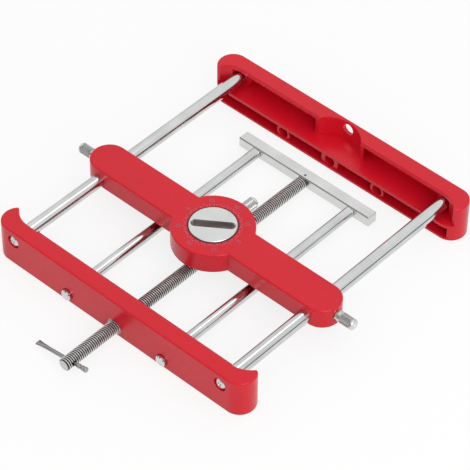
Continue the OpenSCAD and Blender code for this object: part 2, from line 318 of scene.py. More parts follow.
def mixColour(nodes, links, factor, first, second):
    mix = nodes.new("ShaderNodeMix")
    mix.data_type = "RGBA"
    links.new(factor, mix.inputs["Factor"])
    # The colour sockets of this node are inputs 6 and 7 and output 2
    for socket, value in ((mix.inputs[6], first), (mix.inputs[7], second)):
        if isinstance(value, tuple):
            socket.default_value = (*value, 1)
        else:
            links.new(value, socket)
    return mix.outputs[2]


def rangeOf(nodes, links, value, low, high):
    spread = nodes.new("ShaderNodeMapRange")
    links.new(value, spread.inputs["Value"])
    spread.inputs["To Min"].default_value = low
    spread.inputs["To Max"].default_value = high
    return spread.outputs["Result"]


def smoothRange(nodes, links, value, start, end, low, high):
    spread = nodes.new("ShaderNodeMapRange")
    spread.interpolation_type = "SMOOTHSTEP"
    links.new(value, spread.inputs["Value"])
    for label, number in (
        ("From Min", start), ("From Max", end), ("To Min", low), ("To Max", high),
    ):
        if isinstance(number, (int, float)):
            spread.inputs[label].default_value = number
        else:
            links.new(number, spread.inputs[label])
    return spread.outputs["Result"]


def blendOf(nodes, links, first, second, share):
    # The share of the first value plus the rest of the second
    return mathNode(
        nodes, links, "ADD",
        mathNode(nodes, links, "MULTIPLY", first, share),
        mathNode(nodes, links, "MULTIPLY", second, 1 - share),
    )


def addHollow(nodes, links, vector, inner, outer):
    hollow = nodes.new("ShaderNodeGroup")
    hollow.node_tree = hollowGroup
    links.new(vector, hollow.inputs["Vector"])
    hollow.inputs["Inner"].default_value = inner
    hollow.inputs["Outer"].default_value = outer
    return hollow.outputs["Mask"]


def addBump(nodes, links, height, strength, distance, under=None):
    bump = nodes.new("ShaderNodeBump")
    bump.inputs["Strength"].default_value = strength
    bump.inputs["Distance"].default_value = distance
    links.new(height, bump.inputs["Height"])
    if under:
        links.new(under, bump.inputs["Normal"])
    return bump.outputs["Normal"]


plasticLook = {
    "specular": 0.36,
    "gloss": (0.22, 0.32),
    "cloudScale": 22,
    "rubScale": 260,
    "rubStretch": (1, 7, 3),
    "rubRange": (0.60, 0.74),
    "rubColour": 0.16,
    "rubRoughness": 0.08,
    "rubLift": (1.10, 0.015),
    "grainSize": 0.00035,
    "grainDepth": 0.00004,
    "waveScale": 60,
    "waveDepth": 0.0004,
    "bump": 0.10,
}
drawnLook = {"cloudScale": 45, "lineShare": 0.55, "bump": 0.25, "lineDepth": 0.000006}
turnedLook = {
    "rings": 2600.0, "cloudScale": 60, "ringShare": 0.6, "bump": 0.35, "ringDepth": 0.000008,
}
cutLook = {
    "cloudScale": 220, "wornShare": 0.25, "wornTone": 0.7, "fineScale": 2600, "bump": 0.2,
    "fineDepth": 0.00001,
}


def makePlastic(name, base, shade, seat=None):
    # Moulded plastic: faint flow clouds, a fine grain, a few rubbed places, and painted shade in
    # the seam round a seat
    look = plasticLook
    material, nodes, links, shader, vector = newMaterial(name, 0.0, look["specular"])
    clouds = addGrain(nodes, links, vector, look["cloudScale"], detail=3)
    colour = mixColour(nodes, links, clouds, base, shade)
    low, high = look["rubRange"]
    rubs = addGrain(
        nodes, links, vector, look["rubScale"], look["rubStretch"], detail=3, low=low, high=high,
    )
    softRubs = mathNode(nodes, links, "MULTIPLY", rubs, look["rubColour"])
    factor, lift = look["rubLift"]
    light = tuple(min(1, c * factor + lift) for c in base)
    colour = mixColour(nodes, links, softRubs, colour, light)
    if seat:
        # painted shade: a dark ring in the seam round the disc's seat, set by the distance from
        # its middle
        paintedSeamShade, place, inner, outer = seat
        own = centred(nodes, links, vector, place)
        colour = mixColour(
            nodes, links, addHollow(nodes, links, own, inner, outer), paintedSeamShade, colour
        )
    links.new(colour, shader.inputs["Base Color"])
    sheen = mathNode(
        nodes, links, "ADD",
        rangeOf(nodes, links, clouds, *look["gloss"]),
        mathNode(nodes, links, "MULTIPLY", rubs, look["rubRoughness"]),
    )
    links.new(sheen, shader.inputs["Roughness"])
    fine = addGrain(
        nodes, links, vector, 1 / look["grainSize"], detail=1, low=0.25, high=0.75
    )
    wavy = addGrain(nodes, links, vector, look["waveScale"], detail=1)
    normal = addBump(nodes, links, fine, look["bump"], look["grainDepth"])
    normal = addBump(nodes, links, wavy, look["bump"], look["waveDepth"], under=normal)
    links.new(normal, shader.inputs["Normal"])
    return material


def makeDrawnSteel(name, bright, dull, gloss, stretch, scale):
    # Ground or brushed steel: fine lines across the stretch, and a little cloudiness
    look = drawnLook
    material, nodes, links, shader, vector = newMaterial(name, 1.0)
    lines = addGrain(nodes, links, vector, scale, stretch, detail=2, low=0.25, high=0.75)
    clouds = addGrain(nodes, links, vector, look["cloudScale"], detail=3)
    tone = blendOf(nodes, links, lines, clouds, look["lineShare"])
    links.new(mixColour(nodes, links, tone, dull, bright), shader.inputs["Base Color"])
    links.new(rangeOf(nodes, links, tone, gloss[1], gloss[0]), shader.inputs["Roughness"])
    normal = addBump(nodes, links, lines, look["bump"], look["lineDepth"])
    links.new(normal, shader.inputs["Normal"])
    return material


def makeTurnedSteel(name, bright, dull, gloss, place, turn=(0, 0, 0), slot=None):
    # Lathe-turned steel, with rings round its own axis. A slot in it gets painted shade, darker
    # with depth.
    look = turnedLook
    material, nodes, links, shader, vector = newMaterial(name, 1.0)
    ring = nodes.new("ShaderNodeGroup")
    ring.node_tree = turningGroup
    links.new(centred(nodes, links, vector, place, turn), ring.inputs["Vector"])
    ring.inputs["Rings per metre"].default_value = look["rings"]
    clouds = addGrain(nodes, links, vector, look["cloudScale"], detail=3)
    tone = blendOf(nodes, links, ring.outputs["Value"], clouds, look["ringShare"])
    colour = mixColour(nodes, links, tone, dull, bright)
    if slot:
        shade, high, low = slot
        split = nodes.new("ShaderNodeSeparateXYZ")
        links.new(vector, split.inputs["Vector"])
        # painted shade in the slot: none near the top, full towards its floor
        depth = smoothRange(nodes, links, split.outputs["Z"], low, high, 1.0, 0.0)
        colour = mixColour(nodes, links, depth, colour, shade)
    links.new(colour, shader.inputs["Base Color"])
    links.new(rangeOf(nodes, links, tone, gloss[1], gloss[0]), shader.inputs["Roughness"])
    normal = addBump(nodes, links, ring.outputs["Value"], look["bump"], look["ringDepth"])
    links.new(normal, shader.inputs["Normal"])
    return material


def makeCutSteel(name, crest, root, gloss, place, turn, inner, outer):
    # Thread or knurl: bright on the crests, with painted shade making the roots dark
    look = cutLook
    material, nodes, links, shader, vector = newMaterial(name, 1.0)
    own = centred(nodes, links, vector, place, turn)
    hollow = addHollow(nodes, links, own, inner, outer)
    clouds = addGrain(nodes, links, vector, look["cloudScale"], detail=3)
    # painted shade: the roots take the dark colour, the crests the steel's own
    shaded = mixColour(nodes, links, hollow, root, crest)
    worn = mathNode(nodes, links, "MULTIPLY", clouds, look["wornShare"])
    dull = tuple(c * look["wornTone"] for c in crest)
    links.new(mixColour(nodes, links, worn, shaded, dull), shader.inputs["Base Color"])
    links.new(rangeOf(nodes, links, hollow, gloss[1], gloss[0]), shader.inputs["Roughness"])
    fine = addGrain(nodes, links, vector, look["fineScale"], detail=2)
    normal = addBump(nodes, links, fine, look["bump"], look["fineDepth"])
    links.new(normal, shader.inputs["Normal"])
    return material


finishes = {
    "redBase": (0.67, 0.006, 0.021),
    "redShade": (0.62, 0.005, 0.018),
    "chromeBright": (0.76, 0.77, 0.77),
    "chromeDull": (0.50, 0.51, 0.51),
    "steelBright": (0.77, 0.78, 0.77),
    "steelDull": (0.60, 0.61, 0.60),
    # painted shade for the slot in the guide disc
    "paintedSlotShade": (0.40, 0.35, 0.34),
    "threadCrest": (0.88, 0.88, 0.87),
    # painted shade in the clamp screw's thread roots
    "paintedThreadRootShade": (0.055, 0.055, 0.052),
    "screwFace": (0.66, 0.66, 0.65),
    "tommyBright": (0.52, 0.51, 0.515),
    "tommyDull": (0.19, 0.185, 0.19),
    "nutBright": (0.46, 0.45, 0.44),
    "nutDull": (0.30, 0.29, 0.29),
    "platedBright": (0.74, 0.75, 0.75),
    "platedDull": (0.56, 0.57, 0.57),
    # painted shade in the knurls' roots, lighter on the hub screw
    "paintedKnurlRootShade": (0.16, 0.165, 0.165),
    "paintedHubKnurlRootShade": (0.36, 0.365, 0.365),
    "springBright": (0.22, 0.22, 0.23),
    "springDull": (0.12, 0.12, 0.13),
    "brassBright": (0.80, 0.62, 0.30),
    "brassDull": (0.62, 0.45, 0.20),
    "dialNumber": (0.46, 0.085, 0.115),
    "dialTick": (0.56, 0.17, 0.20),
    # painted shade for the seam round the guide disc
    "paintedSeatShade": (0.07, 0.004, 0.010),
}

discMiddle = axisOf("guide_disc", 2)
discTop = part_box("guide_disc")[1].z
screwMiddle = axisOf("clamp_screw", 1)
alongY = (math.radians(90), 0, 0)
alongX = (0, math.radians(90), 0)
evenly = (1, 1, 1)
discSeat = (21.2 * mm, 22.1 * mm)
slotDepths = (0.3 * mm, 2.8 * mm)
threadDepths = (5.1 * mm, 5.75 * mm)

redPlastic = makePlastic("redPlastic", finishes["redBase"], finishes["redShade"])
carriagePlastic = makePlastic(
    "carriagePlastic", finishes["redBase"], finishes["redShade"],
    seat=(finishes["paintedSeatShade"], discMiddle, *discSeat),
)
numberPlastic = makePlastic(
    "dialNumberPlastic", finishes["dialNumber"], finishes["dialNumber"]
)
tickPlastic = makePlastic("dialTickPlastic", finishes["dialTick"], finishes["dialTick"])
rodSteel = makeDrawnSteel(
    "groundRodSteel", finishes["chromeBright"], finishes["chromeDull"],
    (0.07, 0.16), (1.0, 0.012, 1.0), 1500,
)
barSteel = makeDrawnSteel(
    "milledBarSteel", finishes["steelBright"], finishes["steelDull"],
    (0.20, 0.34), (0.02, 1.0, 1.0), 2500,
)
discSteel = makeTurnedSteel(
    "turnedDiscSteel", finishes["steelBright"], finishes["steelDull"],
    (0.24, 0.38), discMiddle,
    slot=(finishes["paintedSlotShade"], discTop - slotDepths[0], discTop - slotDepths[1]),
)
nutSteel = makeTurnedSteel(
    "turnedNutSteel", finishes["nutBright"], finishes["nutDull"],
    (0.28, 0.42), screwMiddle, alongY,
)
screwFaceSteel = makeTurnedSteel(
    "turnedScrewFaceSteel", finishes["screwFace"], finishes["nutBright"],
    (0.25, 0.40), screwMiddle, alongY,
)
screwSteel = makeCutSteel(
    "cutThreadSteel", finishes["threadCrest"], finishes["paintedThreadRootShade"],
    (0.30, 0.60), screwMiddle, alongY, *threadDepths,
)
tommySteel = makeDrawnSteel(
    "drawnTommySteel", finishes["tommyBright"], finishes["tommyDull"],
    (0.18, 0.32), (0.03, 1, 1), 1600,
)
zincPlate = makeDrawnSteel(
    "zincPlatedSteel", finishes["platedBright"], finishes["platedDull"],
    (0.20, 0.32), evenly, 700,
)
springSteel = makeDrawnSteel(
    "blackenedSpringSteel", finishes["springBright"], finishes["springDull"],
    (0.30, 0.45), evenly, 900,
)
insertBrass = makeDrawnSteel(
    "turnedBrass", finishes["brassBright"], finishes["brassDull"],
    (0.22, 0.36), (1, 0.05, 0.05), 2500,
)
print("materials made")


def finishNode(node, material):
    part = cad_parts[node]
    if not part.material_slots:
        part.data.materials.append(material)
    for slot in part.material_slots:
        slot.material = material


nodeFinishes = (
    (redPlastic, ("near_rail", "far_rail")),
    (carriagePlastic, ("carriage",)),
    (rodSteel, ("guide_rod_left", "guide_rod_right", "clamp_rod_left", "clamp_rod_right")),
    (discSteel, ("guide_disc",)),
    (barSteel, ("clamp_bar",)),
    (nutSteel, ("clamp_nut",)),
    (springSteel, ("disc_clip", "clamp_pin")),
    (insertBrass, ("lock_insert_left", "lock_insert_right", "lock_insert_hub")),
    (zincPlate, ("lock_screw_left", "lock_screw_right", "lock_screw_hub")),
    (zincPlate, ("rail_screw_near_left", "rail_screw_near_right")),
    (zincPlate, ("rail_screw_far_left", "rail_screw_far_right")),
    (screwSteel, ("clamp_screw",)),
    (tommySteel, ("tommy_bar",)),
)
for material, names in nodeFinishes:
    for node in names:
        finishNode(node, material)
print("finishes set on the CAD nodes")


def placePiece(piece, material, node, body):
    piece.data.materials.clear()
    piece.data.materials.append(material)
    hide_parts(node)
    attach(piece, body)


# Clamp screw
clampScrew = {
    "pitch": 2 * mm,
    "crestRadius": 5.8 * mm,
    "rootRadius": 4.6 * mm,
    "crestFlat": 0.26 * mm,
    "rootFlat": 0.22 * mm,
    "stepsPerTurn": 40,
    "spareTurns": 2,  # wound beyond each end, then cut off
    "merge": 0.01 * mm,
    "chamfer": 1.2 * mm,
    "blankOver": 0.1 * mm,  # how far the chamfered blank stands outside the crests
    "barGap": 0.1 * mm,  # between the end of the thread and the clamp bar
    # distance and radius in millimetres, from neckDepth before the bar's near face
    "neck": ((10.6, 4.0), (12.7, 4.0), (12.71, 2.6), (15.9, 2.6), (15.91, 4.0), (19.7, 4.0)),
    "neckDepth": 11 * mm,
    "crossHole": 2.3 * mm,  # radius
    "holeReach": 20 * mm,
    "sides": 32,
    # a face this near the end, or turned this squarely to the front, is plain turned steel
    "endFace": 0.05 * mm,
    "endNormal": -0.98,
    "smooth": 32,
}


def makeThread(cfg, start, end):
    # One turn's profile from the edge of a plane, wound along Y with the Screw modifier
    deselectAll()
    bpy.ops.mesh.primitive_plane_add(size=cfg["pitch"], location=(0, 0, 0))
    piece = bpy.context.object
    enterEdit(piece)
    pick(piece, "VERT", lambda v: v.co.x < 0)
    bpy.ops.mesh.delete(type="VERT")
    selectAll()
    bpy.ops.mesh.subdivide(number_cuts=3)
    half = cfg["pitch"] / 2
    crest, root = cfg["crestFlat"] / 2, cfg["rootFlat"] / 2
    stations = (
        (-half + root, cfg["rootRadius"]), (-crest, cfg["crestRadius"]),
        (crest, cfg["crestRadius"]), (half - root, cfg["rootRadius"]),
        (half + root, cfg["rootRadius"]),
    )
    mesh = bmesh.from_edit_mesh(piece.data)
    for vert, (along, radius) in zip(sorted(mesh.verts, key=lambda v: v.co.y), stations):
        vert.co = Vector((radius, along + start - cfg["spareTurns"] * cfg["pitch"], 0))
    bmesh.update_edit_mesh(piece.data)
    leaveEdit()
    turns = math.ceil((end - start) / cfg["pitch"]) + 2 * cfg["spareTurns"]
    applyModifier(
        piece, "SCREW", axis="Y", angle=math.tau, screw_offset=cfg["pitch"], iterations=turns,
        steps=cfg["stepsPerTurn"], render_steps=cfg["stepsPerTurn"], use_merge_vertices=True,
    )
    enterEdit(piece)
    selectAll()
    bpy.ops.mesh.remove_doubles(threshold=cfg["merge"])
    for place, beyond in ((start, "clear_inner"), (end, "clear_outer")):
        selectAll()
        bpy.ops.mesh.bisect(
            plane_co=(0, place, 0), plane_no=(0, 1, 0), use_fill=True, **{beyond: True}
        )
    faceOutwards()
    leaveEdit()
    return piece


def makeClampScrew(cfg):
    low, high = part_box("clamp_screw")
    axisHeight = high.z - cfg["crestRadius"]
    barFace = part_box("clamp_bar")[0].y
    crossY = (tommyLow.y + tommyHigh.y) / 2
    start, end = low.y, barFace - cfg["barGap"]
    piece = makeThread(cfg, start, end)
    piece.name = "clampScrewThread"
    c, r = cfg["chamfer"], cfg["crestRadius"] + cfg["blankOver"]
    length = end - start
    blank = turnedBar(
        "blank", [(0, r - c), (c, r), (length - c, r), (length, r - c)], cfg["stepsPerTurn"]
    )
    setDown(blank, Vector((0, start, 0)), Matrix.Rotation(math.radians(-90), 4, "X"))
    cutWith(piece, blank, "INTERSECT")
    reach, wide = cfg["holeReach"], cfg["crossHole"]
    hole = turnedBar("hole", [(-reach, wide), (reach, wide)], cfg["sides"])
    setDown(hole, Vector((0, crossY, 0)), Matrix.Rotation(math.radians(90) - tommyTilt, 4, "Y"))
    cutWith(piece, hole)
    base = barFace - cfg["neckDepth"]
    neck = turnedBar("neck", [(z * mm, r * mm) for z, r in cfg["neck"]], cfg["sides"])
    setDown(neck, Vector((0, base, 0)), Matrix.Rotation(math.radians(-90), 4, "X"))
    selectOnly(piece)
    neck.select_set(True)
    bpy.ops.object.join()
    setDown(piece, Vector((0, 0, axisHeight)))
    smoothByAngle(piece, cfg["smooth"])
    placePiece(piece, screwSteel, "clamp_screw", "screw")
    piece.data.materials.append(screwFaceSteel)
    for face in piece.data.polygons:
        if face.center.y < start + cfg["endFace"] or face.normal.y < cfg["endNormal"]:
            face.material_index = 1


# Tommy bar
tommyBar = {
    "radius": 1.7 * mm,
    "sides": 28,
    "tilt": 8,
    "cadEnd": 2.85 * mm,  # radius of the CAD bar's ends, which widens its box
    "shorter": 1.4 * mm,
    "edge": 0.2 * mm,
    "edgeAngle": 50,
    "smooth": 40,
    # distance from the end, half width and half thickness in millimetres
    "pressed": (
        (0, 2.75, 0.9), (0.8, 2.85, 1.0), (4.0, 2.28, 1.25), (8.0, 2.05, 1.5), (13.0, 1.7, 1.7),
    ),
    "crimped": (
        (0, 2.1, 2.0), (0.8, 2.5, 2.3), (2.8, 2.2, 2.1), (5.0, 2.15, 2.1), (5.6, 1.7, 1.6),
        (7.0, 1.7, 1.6), (7.6, 2.15, 2.05), (9.6, 2.1, 2.0), (10.3, 1.7, 1.7),
    ),
}
tommyLow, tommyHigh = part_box("tommy_bar")
tommyTilt = math.radians(tommyBar["tilt"])
tommyLength = (
    (tommyHigh - tommyLow).x - 2 * tommyBar["cadEnd"] * math.sin(tommyTilt)
) / math.cos(tommyTilt)


def makeTommyBar(cfg):
    # Round bar with one end pressed flat and the other crimped, so that neither end can
    # slip through the hole
    r, length = cfg["radius"], tommyLength - cfg["shorter"]
    rings = [(z * mm, (thin * mm / r, wide * mm / r)) for z, wide, thin in cfg["pressed"]]
    rings += [
        (length - z * mm, (thin * mm / r, wide * mm / r))
        for z, wide, thin in reversed(cfg["crimped"])
    ]
    piece = turnedBar("tommyBarPressed", [(z, r) for z, grow in rings], cfg["sides"])
    enterEdit(piece)
    for z, grow in rings:
        pick(piece, "VERT", lambda v: abs(v.co.z - z) < hair)
        bpy.ops.transform.resize(value=(*grow, 1), center_override=(0, 0, z))
    leaveEdit()
    applyModifier(
        piece, "BEVEL", width=cfg["edge"], segments=2, limit_method="ANGLE",
        angle_limit=math.radians(cfg["edgeAngle"]),
    )
    middle = (tommyLow + tommyHigh) / 2
    turn = Matrix.Rotation(math.radians(90) - tommyTilt, 4, "Y")
    setDown(piece, Vector((0, 0, -tommyLength / 2)))
    setDown(piece, middle, turn)
    smoothByAngle(piece, cfg["smooth"])
    placePiece(piece, tommySteel, "tommy_bar", "tommy")


# Lock screws
lockScrew = {
    "shankRadius": 3.0 * mm,
    "tipTaper": 0.7 * mm,
    "tipLength": 0.7 * mm,
    "gap": 0.35 * mm,
    "shoulder": 0.001 * mm,
    "collarTaper": 0.7 * mm,
    "collarRise": 0.5 * mm,
    "collarInset": 0.1 * mm,
    "grooveInset": 0.35 * mm,
    "grooveFrom": 0.35 * mm,
    "grooveFloor": (0.1 * mm, 0.2 * mm),
    "knurlFrom": 0.5 * mm,
    "knurlDepth": 0.30 * mm,
    "knurlRows": 30,
    "knurlMask": (0.32 * mm, 0.08 * mm),
    "wallSlope": 0.2,  # a face of the knurl's wall has less upward turn than this
    "gridReach": 0.4 * mm,
    "seam": 0.02 * mm,
    "endRing": 1.6 * mm,
    "endInset": 0.05 * mm,
    "endChamfer": 1.0 * mm,
    # distance from the end and inset from the radius
    "endRound": ((0.3 * mm, 0.55 * mm), (0, 1.1 * mm)),
    "dimple": 0.9 * mm,
    "dimpleFloor": 0.3,
    "smooth": 24,
    # where the collar sits, measured from the outer end of the brass insert
    "armSeat": 0.3 * mm,
    "hubSeat": 0.2 * mm,
    # how far each screw ends short of the CAD one, and how long its collar is
    "right": (1.3 * mm, 5.2 * mm),
    "left": (2.5 * mm, 4.2 * mm),
    "hub": (0, 2.2 * mm),
}


def makeLockScrew(cfg, name, shank, collar, grip, radius):
    # Thumb screw along +Z from its tip, with a plain collar that sits on the arm. The grip's
    # wall is cut into diamonds, and each diamond is poked out to a point.
    base = radius - cfg["knurlDepth"]
    gripStart = shank + collar
    top = gripStart + grip
    knurlStart = gripStart + cfg["knurlFrom"]
    knurlEnd = top - cfg["endRing"] - cfg["endChamfer"]
    cell = math.tau * base / cfg["knurlRows"]
    rings = round((knurlEnd - knurlStart) / cell)
    step = (knurlEnd - knurlStart) / rings
    collarStart = shank + cfg["gap"]
    collarRadius, grooveRadius = radius - cfg["collarInset"], base - cfg["grooveInset"]
    profile = [
        (0, cfg["shankRadius"] - cfg["tipTaper"]), (cfg["tipLength"], cfg["shankRadius"]),
        (collarStart, cfg["shankRadius"]),
        (collarStart + cfg["shoulder"], radius - cfg["collarTaper"]),
        (collarStart + cfg["collarRise"], collarRadius),
        (gripStart - cfg["grooveFrom"], collarRadius),
        (gripStart - cfg["grooveFloor"][0], grooveRadius),
        (gripStart + cfg["grooveFloor"][1], grooveRadius),
        (knurlStart - cfg["seam"], base),
    ]
    profile += [(knurlStart + step * i, base) for i in range(rings + 1)]
    ringRadius = radius - cfg["endInset"]
    profile += [(knurlEnd + cfg["seam"], ringRadius), (top - cfg["endChamfer"], ringRadius)]
    profile += [(top - back, radius - inset) for back, inset in cfg["endRound"]]
    profile += [
        (top, cfg["dimple"]), (top - cfg["dimple"], cfg["dimple"] * cfg["dimpleFloor"]),
    ]
    piece = turnedBar(name, profile, cfg["knurlRows"])

    def inKnurl(point):
        return knurlStart + hair < point.z < knurlEnd - hair

    def isWall(face):
        return inKnurl(face.calc_center_median()) and abs(face.normal.z) < cfg["wallSlope"]

    enterEdit(piece)
    pick(piece, "FACE", isWall)
    bpy.ops.mesh.poke(offset=0)

    def isGridLine(edge):
        first, second = (v.co for v in edge.verts)
        middle = (first + second) / 2
        if not inKnurl(middle) or abs(middle.xy.length - base) > cfg["gridReach"]:
            return False
        level = abs(first.z - second.z) < hair
        upright = (first.xy - second.xy).length < hair
        return level or upright

    pick(piece, "EDGE", isGridLine)
    bpy.ops.mesh.dissolve_edges(use_verts=False)
    pick(piece, "FACE", isWall)
    bpy.ops.mesh.poke(offset=cfg["knurlDepth"])
    leaveEdit()
    smoothByAngle(piece, cfg["smooth"])
    return piece, (knurlStart - cfg["seam"], knurlEnd + cfg["seam"])


# Rail screws
railScrew = {
    "headRadius": 5.75 * mm,
    "domeRadius": 8.0 * mm,
    "domeHeight": 3.0 * mm,
    "shankRadius": 3.0 * mm,
    "shankLength": 15.2 * mm,
    "tip": 0.8 * mm,
    "edge": 0.25 * mm,
    "domeSteps": (1.0, 0.93, 0.84, 0.72, 0.58, 0.42, 0.24, 0.1),
    "sides": 48,
    "crossReach": 2.9 * mm,
    "crossWidth": 1.15 * mm,
    "crossDepth": 2.0 * mm,
    "crossOver": 0.5 * mm,
    "crossTaper": (0.42, 0.75),
    "crossAngles": (45, 135),
    "smooth": 30,
}


def makeRailScrew(cfg):
    # Screw along -Z with its seat at Z = 0 and a low domed head above it
    middle = cfg["domeHeight"] - cfg["domeRadius"]

    def domeAt(radius):
        return middle + math.sqrt(cfg["domeRadius"] ** 2 - radius ** 2)

    r, shank, edge = cfg["headRadius"], cfg["shankRadius"], cfg["edge"]
    tipEnd = -cfg["shankLength"] - cfg["tip"]
    profile = [
        (tipEnd, shank - cfg["tip"]), (-cfg["shankLength"], shank), (0, shank),
        (0.0, r - edge), (edge, r),
    ]
    profile += [(domeAt(r * k), r * k) for k in cfg["domeSteps"]]
    piece = turnedBar("railScrewHead", profile, cfg["sides"])
    for angle in cfg["crossAngles"]:
        deselectAll()
        bpy.ops.mesh.primitive_cube_add(size=1, location=(0, 0, 0))
        cutter = bpy.context.object
        top = cfg["domeHeight"] + cfg["crossOver"]
        floor = cfg["domeHeight"] - cfg["crossDepth"]
        enterEdit(cutter)
        selectAll()
        bpy.ops.transform.resize(
            value=(2 * cfg["crossReach"], cfg["crossWidth"], top - floor),
            center_override=(0, 0, 0),
        )
        bpy.ops.transform.translate(value=(0, 0, (top + floor) / 2))
        pick(cutter, "FACE", lambda f: f.normal.z < -0.5)
        bpy.ops.transform.resize(
            value=(*cfg["crossTaper"], 1), center_override=(0, 0, floor)
        )
        leaveEdit()
        setDown(cutter, Vector((0, 0, 0)), Matrix.Rotation(math.radians(angle), 4, "Z"))
        cutWith(piece, cutter)
    smoothByAngle(piece, cfg["smooth"])
    return piece


# Angle dial
angleDial = {
    "tickInner": 22.4 * mm,
    "tickWidth": 0.52 * mm,
    # outer radius, number of ticks and width against tickWidth
    "tickRings": ((24.2 * mm, 72, 1.0), (25.2 * mm, 24, 1.2)),
    "tickTop": (0.94, 0.7),
    "rise": 0.14 * mm,
    "sunk": 0.05 * mm,
    "numberRadius": 28.2 * mm,
    "numberSize": 5.6 * mm,
    "numberBold": 0.03 * mm,
    "numberSunk": 0.02 * mm,
    "numberCurve": 3,
    "numbers": ("0", "45", "90", "45", "0", "45", "90", "45"),
}


def makeTickRing(cfg, height, outer, count, width):
    inner = cfg["tickInner"]
    deselectAll()
    bpy.ops.mesh.primitive_plane_add(size=1, location=(0, 0, height))
    piece = bpy.context.object
    enterEdit(piece)
    selectAll()
    bpy.ops.transform.resize(value=(outer - inner, width, 1), center_override=(0, 0, 0))
    bpy.ops.transform.translate(value=((outer + inner) / 2, 0, -cfg["sunk"]))
    bpy.ops.mesh.extrude_region_move(
        TRANSFORM_OT_translate={"value": (0, 0, cfg["rise"] + cfg["sunk"])}
    )
    bpy.ops.transform.resize(
        value=(*cfg["tickTop"], 1), center_override=((outer + inner) / 2, 0, 0)
    )
    faceOutwards()
    selectAll()
    bpy.ops.mesh.spin(
        steps=count - 1, dupli=True, angle=math.tau * (count - 1) / count,
        center=(0, 0, 0), axis=(0, 0, 1),
    )
    leaveEdit()
    selectOnly(piece)
    bpy.ops.object.transform_apply(location=True, rotation=True, scale=True)
    return piece


def makeNumber(cfg, text, angle, height):
    deselectAll()
    bpy.ops.object.text_add(location=(0, 0, 0))
    label = bpy.context.object
    label.data.body = text
    label.data.size = cfg["numberSize"]
    label.data.align_x = "CENTER"
    label.data.align_y = "CENTER"
    label.data.extrude = cfg["rise"] / 2
    label.data.offset = cfg["numberBold"]
    label.data.resolution_u = cfg["numberCurve"]
    bpy.ops.object.convert(target="MESH")
    label = bpy.context.object
    place = Matrix.Translation((cfg["numberRadius"], 0, height))
    turn = Matrix.Rotation(math.radians(-90), 4, "Z")
    label.data.transform(Matrix.Rotation(angle, 4, "Z") @ place @ turn)
    return label


def makeDial(cfg):
    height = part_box("carriage")[1].z
    parts = [
        makeTickRing(cfg, height, outer, count, cfg["tickWidth"] * wider)
        for outer, count, wider in cfg["tickRings"]
    ]
    for part in parts:
        part.data.materials.append(tickPlastic)
    numberHeight = height + cfg["rise"] / 2 - cfg["numberSunk"]
    for index, text in enumerate(cfg["numbers"]):
        angle = index * math.tau / len(cfg["numbers"])
        parts.append(makeNumber(cfg, text, angle, numberHeight))
        parts[-1].data.materials.clear()
        parts[-1].data.materials.append(numberPlastic)
    deselectAll()
    for part in parts:
        part.select_set(True)
    bpy.context.view_layer.objects.active = parts[0]
    bpy.ops.object.join()
    dial = bpy.context.object
    dial.name = "angleDial"
    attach(dial, "carriage")


makeTommyBar(tommyBar)
print("tommy bar made")
makeClampScrew(clampScrew)
print("clamp screw made")

lowest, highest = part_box("lock_screw_right")
hubLow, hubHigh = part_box("lock_screw_hub")
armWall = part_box("lock_insert_right")[1].x + lockScrew["armSeat"]
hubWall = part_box("lock_insert_hub")[1].y + lockScrew["hubSeat"]
lockHeight = (lowest.z + highest.z) / 2
lockPlaces = (
    # which screw, its tip, the wall it sits on, its end, axis to turn about, degrees
    ("right", lowest.x, armWall, highest.x, "Y", 90),
    ("left", lowest.x, armWall, highest.x, "Y", -90),
    ("hub", hubLow.y, hubWall, hubHigh.y, "X", -90),
)
for which, tip, wall, end, axis, turn in lockPlaces:
    node, body, onHub = f"lock_screw_{which}", f"lock_{which}", which == "hub"
    low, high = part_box(node)
    radius = (high.z - low.z) / 2
    short, collar = lockScrew[which]
    piece, knurl = makeLockScrew(
        lockScrew, "knurledLockScrew" + which.title(), wall - tip, collar,
        end - short - wall - collar, radius,
    )
    inner, outer = lockScrew["knurlMask"]
    knurled = makeCutSteel(
        body + "KnurlSteel", finishes["platedBright"],
        finishes["paintedHubKnurlRootShade" if onHub else "paintedKnurlRootShade"], (0.20, 0.40),
        (0, 0, lockHeight), alongY if onHub else alongX, radius - inner, radius - outer,
    )
    placePiece(piece, zincPlate, node, body)
    piece.data.materials.append(knurled)
    for face in piece.data.polygons:
        face.material_index = int(knurl[0] < face.center.z < knurl[1])
    if onHub:
        start = Vector((0, tip, lockHeight))
    else:
        start = Vector((math.copysign(tip, turn), 0, lockHeight))
    setDown(piece, start, Matrix.Rotation(math.radians(turn), 4, axis))
print("lock screws made")

headModel = makeRailScrew(railScrew)
for side in ("left", "right"):
    for rail, turn in (("near", 90), ("far", -90)):
        node = f"rail_screw_{rail}_{side}"
        low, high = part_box(node)
        tip = high.y if rail == "near" else low.y
        offset = railScrew["shankLength"] + railScrew["tip"]
        seat = tip - offset if rail == "near" else tip + offset
        piece = copyOf(headModel, f"railScrew{rail.title()}{side.title()}")
        place = Vector(((low.x + high.x) / 2, seat, (low.z + high.z) / 2))
        setDown(piece, place, Matrix.Rotation(math.radians(turn), 4, "X"))
        placePiece(piece, zincPlate, node, "frame")
bpy.data.objects.remove(headModel)
print("rail screws made")

makeDial(angleDial)
print("dial made")


